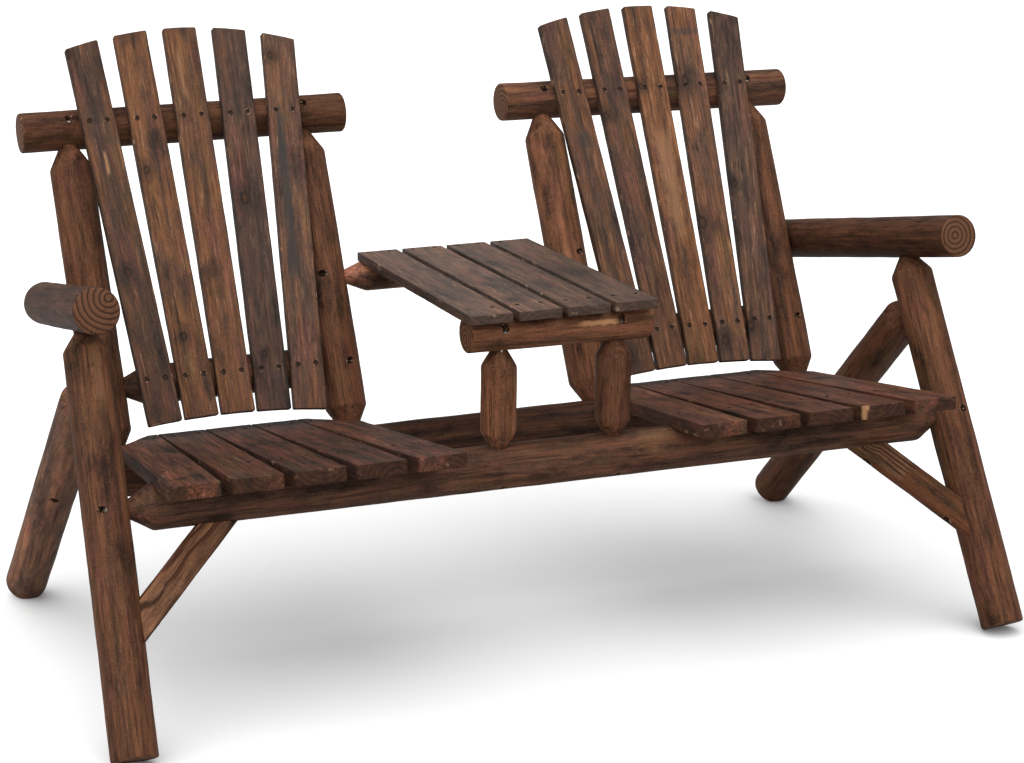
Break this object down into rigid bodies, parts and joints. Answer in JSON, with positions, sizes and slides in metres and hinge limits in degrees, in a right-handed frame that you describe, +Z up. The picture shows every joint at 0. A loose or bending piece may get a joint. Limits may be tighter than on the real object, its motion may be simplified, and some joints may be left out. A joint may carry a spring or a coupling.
{
  "type": "companion seat bench",
  "caption": "Rustic log-framed garden bench with two fan-backed slatted chairs side by side, joined by a slatted table between them.",
  "frame": {"origin": "middle of the bench's bounding box, on the floor", "axes": "+Z up, +X to the right for someone facing the bench from its front, +Y from the front to the back"},
  "size_m": [1.5672, 0.8558, 0.9831],
  "materials": {
    "pole_wood": "dark red-brown charred and oiled fir poles, satin",
    "back_slat_wood": "warm brown sawn boards with burnt edges, matt",
    "seat_slat_wood": "grey-brown sawn boards, worn matt",
    "table_slat_wood": "grey-brown sawn boards, worn matt",
    "screw_steel": "plated screws, dulled"
  },
  "bodies": {
    "root": {"back_frame_screws": "screw_steel", "front_beam": "pole_wood", "left_armrest": "pole_wood", "left_back_slat_1": "back_slat_wood", "left_back_slat_2": "back_slat_wood", "left_back_slat_3": "back_slat_wood", "left_back_slat_4": "back_slat_wood", "left_back_slat_5": "back_slat_wood", "left_back_slat_screws": "screw_steel", "left_brace": "pole_wood", "left_front_leg": "pole_wood", "left_inner_post": "pole_wood", "left_lower_back_rail": "pole_wood", "left_outer_post": "pole_wood", "left_rear_leg": "pole_wood", "left_seat_slat_1": "seat_slat_wood", "left_seat_slat_2": "seat_slat_wood", "left_seat_slat_3": "seat_slat_wood", "left_seat_slat_4": "seat_slat_wood", "left_seat_slat_5": "seat_slat_wood", "left_seat_slat_screws": "screw_steel", "left_top_rail": "pole_wood", "leg_frame_screws": "screw_steel", "rear_beam": "pole_wood", "right_armrest": "pole_wood", "right_back_slat_1": "back_slat_wood", "right_back_slat_2": "back_slat_wood", "right_back_slat_3": "back_slat_wood", "right_back_slat_4": "back_slat_wood", "right_back_slat_5": "back_slat_wood", "right_back_slat_screws": "screw_steel", "right_brace": "pole_wood", "right_front_leg": "pole_wood", "right_inner_post": "pole_wood", "right_lower_back_rail": "pole_wood", "right_outer_post": "pole_wood", "right_rear_leg": "pole_wood", "right_seat_slat_1": "seat_slat_wood", "right_seat_slat_2": "seat_slat_wood", "right_seat_slat_3": "seat_slat_wood", "right_seat_slat_4": "seat_slat_wood", "right_seat_slat_5": "seat_slat_wood", "right_seat_slat_screws": "screw_steel", "right_top_rail": "pole_wood", "table_back_pole": "pole_wood", "table_frame_screws": "screw_steel", "table_front_pole": "pole_wood", "table_left_post": "pole_wood", "table_right_post": "pole_wood", "table_slat_1": "table_slat_wood", "table_slat_2": "table_slat_wood", "table_slat_3": "table_slat_wood", "table_slat_4": "table_slat_wood", "table_slat_screws": "screw_steel"}
  },
  "joints": []
}
